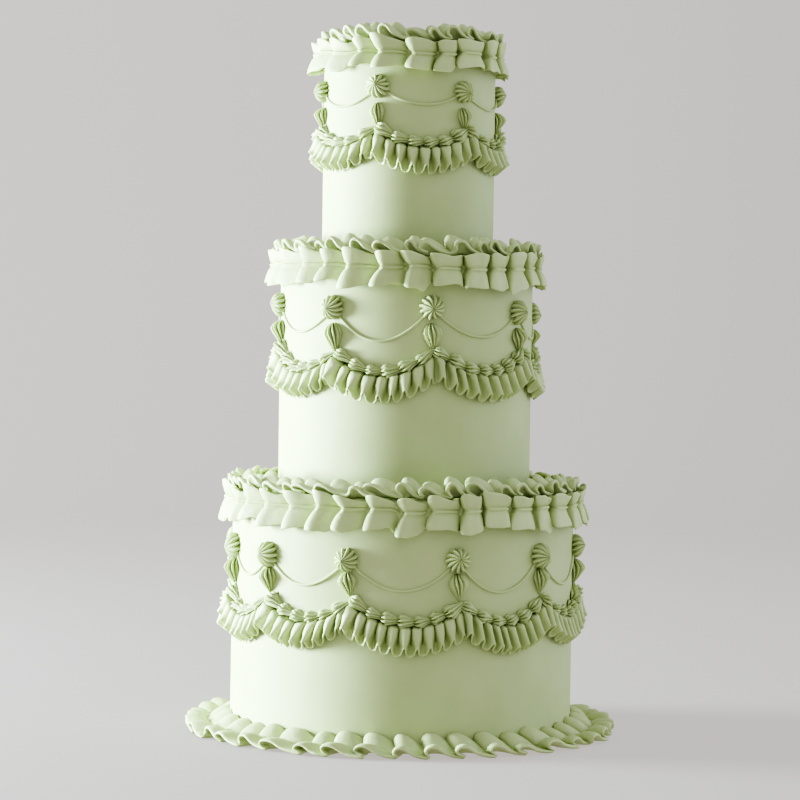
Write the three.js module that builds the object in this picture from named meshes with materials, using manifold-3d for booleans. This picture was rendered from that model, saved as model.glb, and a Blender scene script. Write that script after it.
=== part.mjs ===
// A three-tier wedding cake in pale green icing, uncut, so each tier is one solid drum.
// Every tier carries a pleated frill round its top edge and a folded ruffle on its top face.
// Swags run round its side: rosettes with a string hung from each to the next, a garland of shells
// with a drop under each rosette, and a fluted flounce below the garland.
// A last ruffle runs round the foot of the cake.
// Millimetres, +Z up, with the origin at the centre of the base. The front faces -Y.
import * as THREE from "three";
import { mergeVertices } from "three/addons/utils/BufferGeometryUtils.js";
import Module from "manifold-3d";

const { MathUtils } = THREE;
const { degToRad, lerp } = MathUtils;
const TURN = 2 * Math.PI;

// Driving dimensions. Depths below the top are measured from the tier's own top face.
// Rosettes stand at the seen angles, in degrees, and the other swags share out the back evenly.
const TIERS = [
  {
    name: "bottom", radius: 110, height: 156,
    swags: 12, seen: [-72, -46, -18, 19.4, 49, 84],
    rosetteDepth: 35.4, rosetteRadius: 7.6, stringSag: 20.8,
    garlandDepth: 59.3, garlandSag: 14.7, flounceLength: 20.5,
    dropLength: 16.5, dropWidth: 10.6,
    pleats: 38, frillRise: 10.4, frillFall: 13.2,
    folds: 36, foldRise: 13.4,
  },
  {
    name: "middle", radius: 81, height: 149.4,
    swags: 8, seen: [-74, -31, 12, 57.5, 99],
    rosetteDepth: 30.4, rosetteRadius: 7.3, stringSag: 22.4,
    garlandDepth: 56.6, garlandSag: 14.5, flounceLength: 19.5,
    dropLength: 15.5, dropWidth: 9.8,
    pleats: 28, frillRise: 9.7, frillFall: 12.2,
    folds: 26, foldRise: 12,
  },
  {
    name: "top", radius: 55, height: 134.3,
    swags: 6, seen: [-77, -20, 37, 95],
    rosetteDepth: 26.3, rosetteRadius: 7, stringSag: 12.2,
    garlandDepth: 51.2, garlandSag: 12.2, flounceLength: 18.8,
    dropLength: 15.7, dropWidth: 8.8,
    pleats: 20, frillRise: 9.4, frillFall: 11.2,
    folds: 16, foldRise: 12,
  },
];
const GAP = 0.3; // clearance between pieces that touch
const STRING = { proud: 1.6, halfWidth: 0.9, start: 0.11, taper: 0.05, bend: 0.37 };
const ROSETTE = { ridges: 7, height: 8.4, belly: 0.84, bellyHeight: 0.5, groove: 0.8 };
const SHELL = { pitch: 10.2, head: 3.7, tail: 2.2, headAt: 0.35, tailAt: 0.92, sides: 4 };
const DROP = { ridges: 4, groove: 0.82, shoulder: 0.68, depth: 0.62, overlap: 2.4 };
const FLOUNCE = { pitch: 7.2, crest: 10, valley: 4.8, lift: 4.5, backShare: 0.84, topGap: 0.6, backGap: 0.4 };
// The frill's reaches off the side are given between the pleats and at their noses.
const FRILL = {
  seamDepth: 6.6, waist: [2.6, 5.2], lower: [3.4, 10.4], upper: [3.2, 8.2], lean: 3,
  phases: [0, 0.5, 0.88], reach: [1, 0.56, 0.1], lowerShare: 0.75, upperShare: 0.25,
};
const RUFFLE = {
  seamInset: 3.5, seamRise: 3.4, footInner: 6.5, footOuter: 5,
  outer: 7, outerRise: 0.78, inner: 8.5, lean: 3, phases: [0, 0.62], rise: [1, 0.36],
};
const FOOT = {
  folds: 40, reach: 30, lipInset: 2.4, seam: 12.5, dome: 4.5, skew: 0.4,
  phases: [0, 0.4, 0.8], domeRise: [14, 11, 6], lipRise: [8, 4.5, 2.2], seamRise: [5.4, 4, 2],
};
const UNEVEN = { frill: 0.09, flounce: 0.08, ruffle: 0.08 };
const SAME_POINT = 1e-3; // vertices closer than this are one
const SMOOTH = { color: 0xc2d1a5, roughness: 0.7, metalness: 0 };
const PIPED = { color: 0xbccb9c, roughness: 0.62, metalness: 0 };

const wasm = await Module();
wasm.setup();

// Point at an angle round the axis: 0 is the front, and positive angles go towards +X.
function around(angle, radius, z) {
  return new THREE.Vector3(radius * Math.sin(angle), -radius * Math.cos(angle), z);
}

// Hand-made unevenness: a value from -1 to 1 that looks random and is the same every time.
function uneven(index, kind) {
  return 2 * MathUtils.seededRandom(1 + index + 1000 * kind) - 1;
}

// Leaves only the positions and joins the vertices along the seams.
function sealed(geometry) {
  geometry.deleteAttribute("normal");
  geometry.deleteAttribute("uv");
  return mergeVertices(geometry, SAME_POINT);
}

// Closed ring round the axis: section(step) gives the corners of its cross-section in order.
function pipedRing(steps, section) {
  const sections = Array.from({ length: steps }, (_, step) => section(step));
  const first = sections[0];
  const outline = [...first, first[0]].map(({ r, z }) => new THREE.Vector2(r, z));
  const geometry = new THREE.LatheGeometry(outline, steps);
  const position = geometry.getAttribute("position");
  for (let i = 0; i < position.count; i++) {
    const step = Math.floor(i / outline.length) % steps;
    const corner = sections[step][(i % outline.length) % first.length];
    position.setXYZ(i, ...around(corner.angle, corner.r, corner.z));
  }
  return sealed(geometry);
}

// Star-tip icing: a profile turned about its own +Y axis, with every second line drawn in as a groove.
function ridgedBody(profile, ridges, groove) {
  const outline = profile.map(([r, y]) => new THREE.Vector2(r, y));
  const geometry = new THREE.LatheGeometry(outline, 2 * ridges);
  const position = geometry.getAttribute("position");
  for (let i = 0; i < position.count; i++)
    if (Math.floor(i / outline.length) % 2) {
      position.setX(i, position.getX(i) * groove);
      position.setZ(i, position.getZ(i) * groove);
    }
  return sealed(geometry);
}

// Angles of a tier's rosettes: the seen ones, then the rest up to the first one again.
function rosetteAngles({ seen, swags }) {
  const last = seen[seen.length - 1];
  const unseen = swags - seen.length;
  const step = (360 + seen[0] - last) / (unseen + 1);
  const rest = Array.from({ length: unseen + 1 }, (_, index) => last + step * (index + 1));
  return [...seen, ...rest].map(degToRad);
}

// Angle of a place along the swags, whose whole numbers are the rosettes.
function swagAngle(tier, place) {
  const swag = Math.floor(place);
  return lerp(tier.angles[swag], tier.angles[swag + 1], place - swag);
}

// Places along the swags of things at a pitch, as many to a swag as fit, each with the same few stops.
function swagPlaces(tier, pitch, stops) {
  const places = [];
  for (let swag = 0; swag < tier.swags; swag++) {
    const count = Math.round((tier.radius * (tier.angles[swag + 1] - tier.angles[swag])) / pitch);
    for (let index = 0; index < count; index++)
      for (const stop of stops) places.push(swag + (index + stop) / count);
  }
  return places;
}

// How far a swag has dropped at a place along it, from 0 at the rosettes to 1 halfway.
function swagDrop(place) {
  const across = place - Math.floor(place);
  return 1 - (2 * across - 1) ** 2;
}

function garlandHeight(tier, place) {
  return tier.top - tier.garlandDepth - tier.garlandSag * swagDrop(place);
}

// Smooth drum with its strings standing proud of the side, each ending just short of the rosettes.
function drum(tier) {
  const { start, taper, bend, proud, halfWidth } = STRING;
  const stops = [start, start + taper, bend, 1 - bend, 1 - start - taper, 1 - start];
  const shown = [0, 1, 1, 1, 1, 0];
  const steps = tier.swags * stops.length;
  const profile = (step) => {
    const place = Math.floor(step / stops.length) + stops[step % stops.length];
    const angle = swagAngle(tier, place);
    const stringZ = tier.top - tier.rosetteDepth - tier.stringSag * swagDrop(place);
    const crest = tier.radius + proud * shown[step % stops.length];
    return [
      { angle, r: 0, z: tier.base },
      { angle, r: tier.radius, z: tier.base },
      { angle, r: tier.radius, z: stringZ - halfWidth },
      { angle, r: crest, z: stringZ },
      { angle, r: tier.radius, z: stringZ + halfWidth },
      { angle, r: tier.radius, z: tier.top },
      { angle, r: 0, z: tier.top },
    ];
  };
  return pipedRing(steps, profile);
}

// Knife-pleated frill round the top edge: two flaps that flare out above and below a pinched seam.
// Between the pleats the upper flap falls nearly to the seam.
function edgeFrill(tier) {
  const { phases, reach, waist, lower, upper, lean, lowerShare, upperShare } = FRILL;
  const seamZ = tier.top - FRILL.seamDepth;
  return pipedRing(tier.pleats * phases.length, (step) => {
    const pleat = Math.floor(step / phases.length);
    const stand = reach[step % phases.length];
    const angle = (TURN * (pleat + phases[step % phases.length])) / tier.pleats;
    const edgeAngle = angle - lean / tier.radius;
    const size = 1 + UNEVEN.frill * uneven(pleat, 1);
    return [
      { angle, r: tier.radius + GAP, z: seamZ },
      {
        angle: edgeAngle,
        r: tier.radius + lerp(...lower, stand),
        z: seamZ - tier.frillFall * size * lerp(lowerShare, 1, stand),
      },
      { angle, r: tier.radius + lerp(...waist, stand), z: seamZ },
      {
        angle: edgeAngle,
        r: tier.radius + lerp(...upper, stand),
        z: seamZ + tier.frillRise * size * lerp(upperShare, 1, stand),
      },
    ];
  });
}

// Folded ruffle on the top face: two wings that rise from a seam, one out over the rim and one inwards.
function topRuffle(tier) {
  const { phases, rise, seamInset, seamRise, footInner, footOuter, outer, outerRise, inner, lean } = RUFFLE;
  const floor = tier.top + GAP;
  const seam = tier.radius - seamInset;
  return pipedRing(tier.folds * phases.length, (step) => {
    const fold = Math.floor(step / phases.length);
    const stand = rise[step % phases.length] * (1 + UNEVEN.ruffle * uneven(fold, 2));
    const angle = (TURN * (fold + phases[step % phases.length])) / tier.folds;
    const edgeAngle = angle - lean / tier.radius;
    return [
      { angle, r: seam - footInner, z: floor },
      { angle, r: seam + footOuter, z: floor },
      { angle: edgeAngle, r: seam + outer, z: floor + tier.foldRise * outerRise * stand },
      { angle, r: seam, z: floor + seamRise * stand },
      { angle: edgeAngle, r: seam - inner, z: floor + tier.foldRise * stand },
    ];
  });
}

// Fluted ruffle that hangs below the garland: crests stand out, valleys hang lower and closer to the side.
function flounce(tier) {
  const places = swagPlaces(tier, FLOUNCE.pitch, [0, 0.5]);
  return pipedRing(places.length, (step) => {
    const angle = swagAngle(tier, places[step]);
    const height = garlandHeight(tier, places[step]);
    const crest = step % 2 === 1;
    const length = tier.flounceLength * (1 + UNEVEN.flounce * uneven(step, 3));
    const back = tier.radius + FLOUNCE.backGap;
    return [
      { angle, r: back, z: height - FLOUNCE.backShare * length },
      {
        angle,
        r: tier.radius + (crest ? FLOUNCE.crest : FLOUNCE.valley),
        z: height - length + (crest ? FLOUNCE.lift : 0),
      },
      { angle, r: back, z: height - SHELL.head - FLOUNCE.topGap },
    ];
  });
}

// Run of shells along the swags, each with a fat head and a thin tail.
function garland(tier) {
  const { pitch, head, tail, headAt, tailAt, sides } = SHELL;
  const places = swagPlaces(tier, pitch, [headAt, tailAt]);
  const axis = tier.radius + GAP + head;
  return pipedRing(places.length, (step) => {
    const angle = swagAngle(tier, places[step]);
    const height = garlandHeight(tier, places[step]);
    const size = step % 2 ? tail : head;
    return Array.from({ length: sides }, (_, side) => ({
      angle,
      r: axis + size * Math.cos((TURN * side) / sides),
      z: height + size * Math.sin((TURN * side) / sides),
    }));
  });
}

// Drop-shaped shell under a rosette, with its tail drawn down into the peak of the garland.
function drop(tier, index) {
  const { ridges, groove, shoulder, depth, overlap } = DROP;
  const length = tier.dropLength;
  const half = tier.dropWidth / 2;
  const body = ridgedBody([[0, 0], [half, shoulder * length], [0, length]], ridges, groove);
  const angle = swagAngle(tier, index);
  const peak = garlandHeight(tier, index);
  body.scale(1, 1, depth);
  body.rotateX(Math.PI / 2);
  body.rotateZ(angle);
  body.translate(...around(angle, tier.radius + GAP + half * depth, peak - overlap));
  return body;
}

function asSolid(geometry) {
  const vertProperties = new Float32Array(geometry.getAttribute("position").array);
  return new wasm.Manifold(
    new wasm.Mesh({ numProp: 3, vertProperties, triVerts: new Uint32Array(geometry.index.array) }),
  );
}

function asGeometry(solid) {
  const { vertProperties, triVerts } = solid.getMesh();
  return new THREE.BufferGeometry()
    .setAttribute("position", new THREE.BufferAttribute(vertProperties, 3))
    .setIndex(new THREE.BufferAttribute(triVerts, 1));
}

// Garland and drops as one piece of icing.
function garlandWithDrops(tier) {
  let joined = asSolid(garland(tier));
  for (let index = 0; index < tier.swags; index++) joined = joined.add(asSolid(drop(tier, index)));
  return asGeometry(joined);
}

// Star-tip rosette whose flat back lies against the side of the tier.
function rosette(tier, index) {
  const { ridges, height, belly, bellyHeight, groove } = ROSETTE;
  const radius = tier.rosetteRadius;
  const profile = [[0, 0], [radius, 0], [belly * radius, bellyHeight * height], [0, height]];
  const number = String(index + 1).padStart(2, "0");
  const mesh = named(`rosette_${tier.name}_${number}`, ridgedBody(profile, ridges, groove), PIPED);
  const angle = swagAngle(tier, index);
  const outward = around(angle, 1, 0);
  mesh.quaternion.setFromUnitVectors(new THREE.Vector3(0, 1, 0), outward);
  mesh.position.copy(around(angle, tier.radius + GAP, tier.top - tier.rosetteDepth));
  return mesh;
}

// Ruffle round the foot: domes against the side, a seam beside them, and a lip folded out over the base.
function footRuffle(tier) {
  const { folds, reach, lipInset, seam, dome, skew, phases, domeRise, lipRise, seamRise } = FOOT;
  return pipedRing(folds * phases.length, (step) => {
    const part = step % phases.length;
    const angle = (TURN * (Math.floor(step / phases.length) + phases[part])) / folds;
    const lipAngle = angle - (TURN * skew) / folds;
    const rim = tier.radius + reach;
    return [
      { angle, r: tier.radius + GAP, z: 0 },
      { angle: lipAngle, r: rim, z: 0 },
      { angle: lipAngle, r: rim - lipInset, z: lipRise[part] },
      { angle, r: tier.radius + seam, z: seamRise[part] },
      { angle, r: tier.radius + dome, z: domeRise[part] },
    ];
  });
}

function named(name, geometry, look) {
  const mesh = new THREE.Mesh(geometry, new THREE.MeshStandardMaterial(look));
  mesh.name = name;
  return mesh;
}

const cake = new THREE.Group();
let base = 0;
for (const measures of TIERS) {
  const tier = { ...measures, base, top: base + measures.height, angles: rosetteAngles(measures) };
  const group = new THREE.Group();
  group.add(
    named(`tier_${tier.name}`, drum(tier), SMOOTH),
    named(`edge_frill_${tier.name}`, edgeFrill(tier), PIPED),
    named(`top_ruffle_${tier.name}`, topRuffle(tier), PIPED),
    named(`garland_${tier.name}`, garlandWithDrops(tier), PIPED),
    named(`flounce_${tier.name}`, flounce(tier), PIPED),
  );
  for (let index = 0; index < tier.swags; index++) group.add(rosette(tier, index));
  if (base === 0) group.add(named("foot_ruffle", footRuffle(tier), PIPED));
  cake.add(group);
  base = tier.top;
}

export default cake;
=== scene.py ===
# A three-tier wedding cake in pale green piped icing, dressed round its solids.
# Sizes are in millimetres and turn into metres where a point is made. Angles are in degrees unless radians
# are named: 0 is the front, -Y, and positive angles go towards +X. "Along" runs to the right as seen from
# outside, and a share is a part of 1.
import math

import bmesh
import bpy
import numpy as np
from mathutils import Matrix, Vector


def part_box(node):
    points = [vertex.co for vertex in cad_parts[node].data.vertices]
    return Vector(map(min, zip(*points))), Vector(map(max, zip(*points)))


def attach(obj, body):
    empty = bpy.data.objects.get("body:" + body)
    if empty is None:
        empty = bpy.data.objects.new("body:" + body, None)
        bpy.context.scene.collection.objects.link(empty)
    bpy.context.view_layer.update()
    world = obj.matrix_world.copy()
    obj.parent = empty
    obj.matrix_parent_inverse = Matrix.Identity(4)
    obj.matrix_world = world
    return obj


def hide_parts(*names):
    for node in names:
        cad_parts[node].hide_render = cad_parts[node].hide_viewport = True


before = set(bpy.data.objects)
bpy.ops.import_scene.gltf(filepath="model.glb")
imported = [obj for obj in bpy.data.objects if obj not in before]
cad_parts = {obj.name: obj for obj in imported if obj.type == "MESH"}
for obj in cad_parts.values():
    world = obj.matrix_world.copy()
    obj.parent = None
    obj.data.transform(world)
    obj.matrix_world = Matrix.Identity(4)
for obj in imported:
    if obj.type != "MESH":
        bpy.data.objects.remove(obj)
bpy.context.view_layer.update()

MM = 0.001
TURN = 2 * math.pi
RANDOM = np.random.default_rng(21)
SAME_POINT = 0.002 * MM
TINY = 1e-12

# Driving sizes of each tier. Depths are measured down from the tier's top face.
# Each swag that shows has a row: the angle and depth of the rosette at its left end, the angle and depth of
# the garland's peak there, and how far its string sags. The others are shared out evenly round the back.
# A drop starts some way below its rosette's middle and takes up a share of the height down to the peak.
# The frill rises and falls from its seam, and its upper edge dips between pleats by a share of its width.
# Folds are the top ruffle's pleats. Their inner flaps rise higher than the hooks of their outer flaps.
TIERS = {
    "bottom": dict(
        radius=110, swags=12, seen=(
            (-73.8, 36.2, -75.0, 63.2, 15.3),
            (-48.8, 37.9, -47.5, 63.7, 17.0),
            (-17.9, 37.4, -16.2, 61.7, 18.6),
            (17.7, 37.2, 19.4, 64.0, 20.6),
            (50.4, 36.3, 51.6, 62.5, 20.4),
            (84.0, 35.0, 84.0, 61.5, 20.4),
        ),
        rosette_radius=7.8, garland_sag=12.2, drop_width=7.6, drop_start=7.6, drop_reach=0.9,
        flounce_length=20.5, flute_pitch=6.4, pleats=38, frill_rise=9.6, frill_fall=13.2, frill_dip=1.0,
        folds=44, fold_rise=14.2, hook_rise=7.8,
    ),
    "middle": dict(
        radius=81, swags=8, seen=(
            (-77.0, 32.1, -74.0, 56.6, 16.3),
            (-34.0, 32.5, -31.5, 60.2, 20.9),
            (11.0, 31.6, 12.4, 57.8, 16.7),
            (58.5, 34.5, 63.0, 58.3, 16.5),
            (99.0, 35.6, 99.0, 57.8, 16.5),
        ),
        rosette_radius=7.4, garland_sag=13.0, drop_width=8.2, drop_start=9.6, drop_reach=1.06,
        flounce_length=19.5, flute_pitch=7.2, pleats=28, frill_rise=9.8, frill_fall=12.4, frill_dip=0.6,
        folds=33, fold_rise=13.0, hook_rise=6.8,
    ),
    "top": dict(
        radius=55, swags=6, seen=(
            (-77.0, 30.1, -77.0, 54.0, 11.3),
            (-21.0, 28.2, -20.5, 54.1, 9.6),
            (37.0, 30.7, 40.0, 54.1, 10.0),
            (95.0, 31.0, 95.0, 54.0, 10.5),
        ),
        rosette_radius=7.2, garland_sag=9.4, drop_width=6.2, drop_start=9.8, drop_reach=1.06,
        flounce_length=18.8, flute_pitch=6.4, pleats=20, frill_rise=9.8, frill_fall=11.2, frill_dip=0.9,
        folds=25, fold_rise=11.6, hook_rise=7.1,
    ),
}
ROSETTE_ANGLE, ROSETTE_DEPTH, PEAK_ANGLE, PEAK_DEPTH, STRING_SAG = range(5)

# Pleated ribbon: one pleat seen along its fold, first where the seam pinches it and then at the edges of its
# two flaps. Each row has a place along (share of the pitch) and out (share of the depth) at the seam, and a
# place along, a place out and a share of the flap's width at each of the edges.
# The frill's pleat opens from a steep nose at the left. Its long face falls away to the right.
OPEN_PLEAT = [
    (0.00, 0.05, -0.04, 0.12, 0.84, -0.04, 0.08, 0.62),
    (0.03, 0.45, -0.06, 0.46, 0.92, -0.07, 0.40, 0.75),
    (0.06, 0.85, -0.04, 0.80, 0.97, -0.06, 0.74, 0.88),
    (0.10, 1.00, 0.03, 0.96, 1.00, 0.02, 0.94, 0.97),
    (0.17, 0.94, 0.14, 1.00, 1.00, 0.14, 1.00, 1.00),
    (0.30, 0.79, 0.29, 0.89, 1.00, 0.29, 0.91, 0.97),
    (0.46, 0.60, 0.46, 0.70, 0.98, 0.46, 0.72, 0.88),
    (0.62, 0.40, 0.63, 0.50, 0.94, 0.63, 0.51, 0.77),
    (0.76, 0.22, 0.78, 0.31, 0.90, 0.78, 0.31, 0.68),
    (0.87, 0.07, 0.89, 0.17, 0.86, 0.89, 0.16, 0.62),
    (0.94, 0.00, 0.95, 0.09, 0.84, 0.95, 0.07, 0.60),
]
# The ruffles' pleat has a rounded nose that curls to the left, and a hidden return under the next nose.
CURLED_PLEAT = [
    (0.00, 0.50, -0.02, 0.52, 0.92, 0.00, 0.50, 0.72),
    (0.03, 0.78, 0.00, 0.78, 0.97, 0.02, 0.78, 0.78),
    (0.11, 0.96, 0.07, 0.95, 1.00, 0.10, 0.96, 0.86),
    (0.23, 1.00, 0.18, 1.00, 1.00, 0.24, 1.00, 0.95),
    (0.39, 0.93, 0.31, 0.92, 0.97, 0.44, 0.93, 1.00),
    (0.54, 0.72, 0.43, 0.70, 0.92, 0.65, 0.72, 0.86),
    (0.67, 0.45, 0.56, 0.44, 0.86, 0.86, 0.45, 0.60),
    (0.77, 0.20, 0.74, 0.23, 0.80, 1.06, 0.20, 0.36),
    (0.84, 0.08, 0.95, 0.10, 0.76, 1.22, 0.08, 0.28),
    (0.89, 0.03, 1.14, 0.03, 0.74, 1.30, 0.03, 0.30),
    (0.92, 0.10, 1.20, 0.08, 0.76, 1.26, 0.10, 0.40),
    (0.95, 0.18, 1.13, 0.18, 0.80, 1.14, 0.18, 0.52),
    (0.98, 0.30, 1.04, 0.33, 0.86, 1.04, 0.30, 0.64),
]
# What each column gains from one pleat to the next, and the points made along a pleat
PLEAT_SHIFT = np.array([1, 0, 1, 0, 0, 1, 0, 0])
SPLINE_STEPS = 10
PLEAT_STEPS = 22
# Places across half of the ribbon, closest together at the seam and the edge
HALF_STOPS = np.array([0.04, 0.08, 0.12, 0.17, 0.24, 0.36, 0.52, 0.70, 0.85, 0.94, 0.98, 1.0])
# How soon a flap takes its edge's form, and how far along a pleat the next one starts to hide it
EDGE_GROWTH = 1.8
HIDDEN_FROM = 0.72
# Points of a ring's edge from one random factor to the next
ROUGH_STEP = 4
# How many times as uneven as their size the dip of the pleats' edges and their lean are
DIP_UNEVEN = 2
LEAN_UNEVEN = 3.5
# Flat panels at the right: the sine of the bearing from which they start, and over how much of it they form
PANEL_FROM = 0.15
PANEL_OVER = 0.3
# Shares of a pleat's depth from which a panel has its whole depth, and how much straighter its edge is
PANEL_AT_SEAM = 0.5
PANEL_AT_EDGE = 0.3
PANEL_STRAIGHT = 0.7
# A vein with a groove at each side of it, in shares of a flap's width and of the vein's height
VEIN_HALF = 0.055
GROOVE_PLACE = 0.15
GROOVE_HALF = 0.06
GROOVE_DEPTH = 0.4
# A ribbon gets thinner by a share towards its round edge
EDGE_THINNER = 0.1
EDGE_ROUND = 10

# Which way the pleats of a ring stand
OUTWARDS = 0
UPWARDS = 90

# Edge frill: its seam, out from the wall and below the top face, with its two flaps and its make.
# The tiers give the flaps' widths.
FRILL_OUT = 0.2
FRILL_BELOW = 6.6
FRILL_LOWER = dict(rest=(-2.4, -1.4, -0.4, 0.6), stand=(7.2, 8.2, 8.8, 9.0), lean=3.4, bow=1.7, fall=1.0)
FRILL_UPPER = dict(rest=(-2.4, -1.6, -0.8, 0), stand=(7.2, 7.3, 7.4, 7.4), lean=2.6, bow=1.0)
FRILL_MAKE = dict(
    thickness=1.5, vein=1.1, uneven=0.18, jitter=0.17, wander=1.3, flat=0.8, ragged=0.06, slant=0.1,
)

# Top ruffle: its seam, in from the wall and above the top face, with its hooks outside, its folds inside and
# its make. The tiers give how high the edges stand. A fold's edge rests and stands at shares of its rise.
RUFFLE_IN = 3.5
RUFFLE_ABOVE = 0.4
HOOK = dict(
    width=7.5, rest=(0.2, 0.8, 1.2, 1.4), stand=(1.6, 5.4, 7.2), lean=3.6, bow=1.7, fall=0.8, late=1.5,
)
FOLD = dict(width=8.5, rest=(0.2, 1.2, 2.2), stand=(1.6, 5.6, 7.8), lean=2.4, bow=1.7, fall=0.4)
FOLD_EDGE_REST = 0.2
FOLD_EDGE_STAND = 0.62
RUFFLE_MAKE = dict(
    thickness=2.8, vein=0.4, uneven=0.26, jitter=0.22, curl=0.3, lower_behind=0.45, ragged=0.05,
)

# Foot ruffle: its pleats, its seam, out from the wall and above the ground, with its two flaps and its make
FOOT_PLEATS = 40
FOOT_OUT = 14.5
FOOT_ABOVE = 1.4
FOOT_OUTER = dict(
    width=14.0, rest=(0, 0, 0, 0), stand=(2.2, 5.4, 6.2, 6.0), lean=4.0, bow=1.7, fall=0.0, late=2.0,
)
FOOT_INNER = dict(
    width=15.6, rest=(0, 0.8, 1.8, 2.6), stand=(2.2, 6.0, 7.6, 7.8), lean=2.4, bow=1.7, fall=0.12,
)
FOOT_MAKE = dict(thickness=2.8, vein=0.4, uneven=0.16, jitter=0.14, curl=0.15, ragged=0.03)

# Flounce: half a flute from the middle of a loop to the crest beside it. Under the garland it is a wide tube,
# with a place along (share of the pitch) and out (share of the depth). At its edge it opens into a round
# loop, with a place along, a place out and a share of the height by which the crest hangs above the loop.
FLUTE = [
    (0.00, 0.00, 0.00, 0.00, 0.00), (0.04, 0.08, 0.10, 0.02, 0.02), (0.07, 0.24, 0.18, 0.07, 0.07),
    (0.10, 0.43, 0.25, 0.16, 0.15), (0.13, 0.61, 0.30, 0.28, 0.27), (0.17, 0.76, 0.335, 0.43, 0.42),
    (0.23, 0.88, 0.36, 0.59, 0.59), (0.31, 0.95, 0.385, 0.76, 0.76), (0.40, 0.99, 0.43, 0.92, 0.92),
    (0.50, 1.00, 0.50, 1.00, 1.00),
]
# What each column gains from one flute to the next, and how a flute's second half mirrors its first
FLUTE_SHIFT = np.array([1, 0, 1, 0, 0])
FLUTE_MIRROR = np.array([-1, 1, -1, 1, 1])
# Places down a flute, closest together at its edge
FLUTE_STOPS = np.array([0, 0.12, 0.25, 0.4, 0.54, 0.67, 0.79, 0.88, 0.94, 0.98, 1.0])
# Range of the flutes' widths beside each other, the first one's width, and how far their depths differ
FLUTE_WIDTHS = (0.82, 1.18)
FIRST_WIDTH = 1.1
FLUTE_UNEVEN = 0.16
# Shares of the length from which a flute opens and over which it does, and how much sooner at the right
OPEN_FROM = 0.3
OPEN_OVER = 0.6
OPEN_SOONER = 0.45
# Lean of the flutes: the share of the garland's slope that they follow, and how much less at the sides
SLOPE_LEAN = 0.45
SLOPE_LEAN_LESS = 0.25
# Their lean in radians, towards the side that they are on and to the left, and how bowed it is
SIDE_LEAN = 0.3
LEFT_LEAN = 0.07
LEAN_BOW = 0.35
# The first flute fans out to the left and the last one tucks in: how much, and over what part of a flute
FIRST_ASIDE = (1, 2.5)
FIRST_OVER = 0.8
LAST_OVER = 0.3
# How far below the garland's line the flounce starts, and how far its loops hang past its length
FLOUNCE_START = 2.0
FLOUNCE_PAST = 1.0
# How much higher than the loops the crests' edges are
CREST_LIFT = 5.8
# Depth of the flutes at the top, how much deeper they are at the edge, and how soon
FLUTE_DEPTH = 4.4
FLUTE_DEEPER = 2.8
FLUTE_DEEPENS = 0.6
# How much deeper the edge is at a swag's left end, and how much less deep at its right end
LEFT_DEEPER = 0.8
RIGHT_LESS_DEEP = 0.6
# How far the loops are off the wall, and how much further at the edge
LOOP_OUT = 0.8
LOOP_FLARE = 1.6
# A length is set this share of its swag to the left, and its height is taken within the swag
SWAG_BEFORE = 0.01
SWAG_END = 0.999
# Thickness of the flounce, how much thinner it gets towards its edge, and its least thickness
FLOUNCE_THICK = 1.5
FLOUNCE_THINNER = 0.6
FLOUNCE_LEAST = 0.02
# The rim near its edge, with its place as a share of the way down, and how sharply the edge is rounded
FLOUNCE_RIM = 0.6
FLOUNCE_RIM_PLACE = 0.97
FLOUNCE_RIM_HALF = 0.05
FLOUNCE_ROUND = 24

# Shells and drops: how each is made. fat is the share of the length that the head takes up, taper and blunt
# are the powers that shape the tail and the head, and the twist is in radians.
SHELL_MAKE = dict(ridge_count=9, steps=15, sides=36, groove=0.45, twist=0.9, fat=0.3, taper=0.8, blunt=2.2)
DROP_MAKE = dict(ridge_count=11, steps=22, sides=56, groove=0.6, twist=0.5, fat=0.42, taper=1.15, blunt=1.6)
# Where the first ring is, in radians of half a turn that spaces the rings
HEAD_START = 0.1
# Where the tail starts, as a share of fat, and how much thinner it gets
TAIL_FROM = 0.8
TAIL_THINNER = 0.88
# How far the sides go on behind the wall, as a share of half a turn
SUNK = 0.18
# How sharp the ridges are, and the shares of the length over which they fade at the head and the tail
SHELL_SHARP = 0.8
HEAD_FADE = 0.05
HEAD_FADE_LEAST = 0.3
TAIL_FADE_END = 1.1
TAIL_FADE = 0.3
# How far the grooves set back the head, and the place where a shell is held, as shares of the length
HEAD_NOTCH = 0.1
HELD_AT = 0.32
# Garland's shells: their pitch, their length as a share of it, their width and their depth
SHELL_PITCH = 10.2
SHELL_LENGTH = 1.55
SHELL_WIDTH = 6.9
SHELL_DEPTH = 8.0
# Where a shell is in its pitch, and the stretch of its pitch that gives its heading
SHELL_PLACE = 0.36
SHELL_BEFORE = 0.1
SHELL_AHEAD = 0.9
# How far the shells differ in size, in heading, which is in radians, and in height
SHELL_UNEVEN = 0.1
SHELL_TURNED = 0.1
SHELL_WOBBLE = 0.5
# Drops under the rosettes: their depth, how far they differ in size, and the share of the way aside to the
# garland's peak that they lean
DROP_DEPTH = 8.0
DROP_UNEVEN = 0.07
DROP_LEAN = 0.5

# Half of a rosette's outline, as shares of its radius and its height
ROSETTE_PROFILE = np.array([
    (0.90, -0.12), (0.97, 0.05), (1.00, 0.20), (0.98, 0.36), (0.91, 0.52), (0.79, 0.67),
    (0.62, 0.80), (0.44, 0.90), (0.27, 0.97), (0.14, 1.03), (0.05, 1.07),
])
# Points round a rosette, its ridges and how sharp they are
ROSETTE_SIDES = 96
ROSETTE_RIDGES = 12
ROSETTE_SHARP = 0.75
# The ridges' reach as a share of the rosette's radius, its height, and how far both differ
ROSETTE_REACH = 1.04
ROSETTE_HEIGHT = 7.6
REACH_UNEVEN = 0.05
HEIGHT_UNEVEN = 0.08
# Twist of the ridges in radians, and how far the middle leans
ROSETTE_TWIST = 0.3
ROSETTE_LEAN = 1.6
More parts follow.
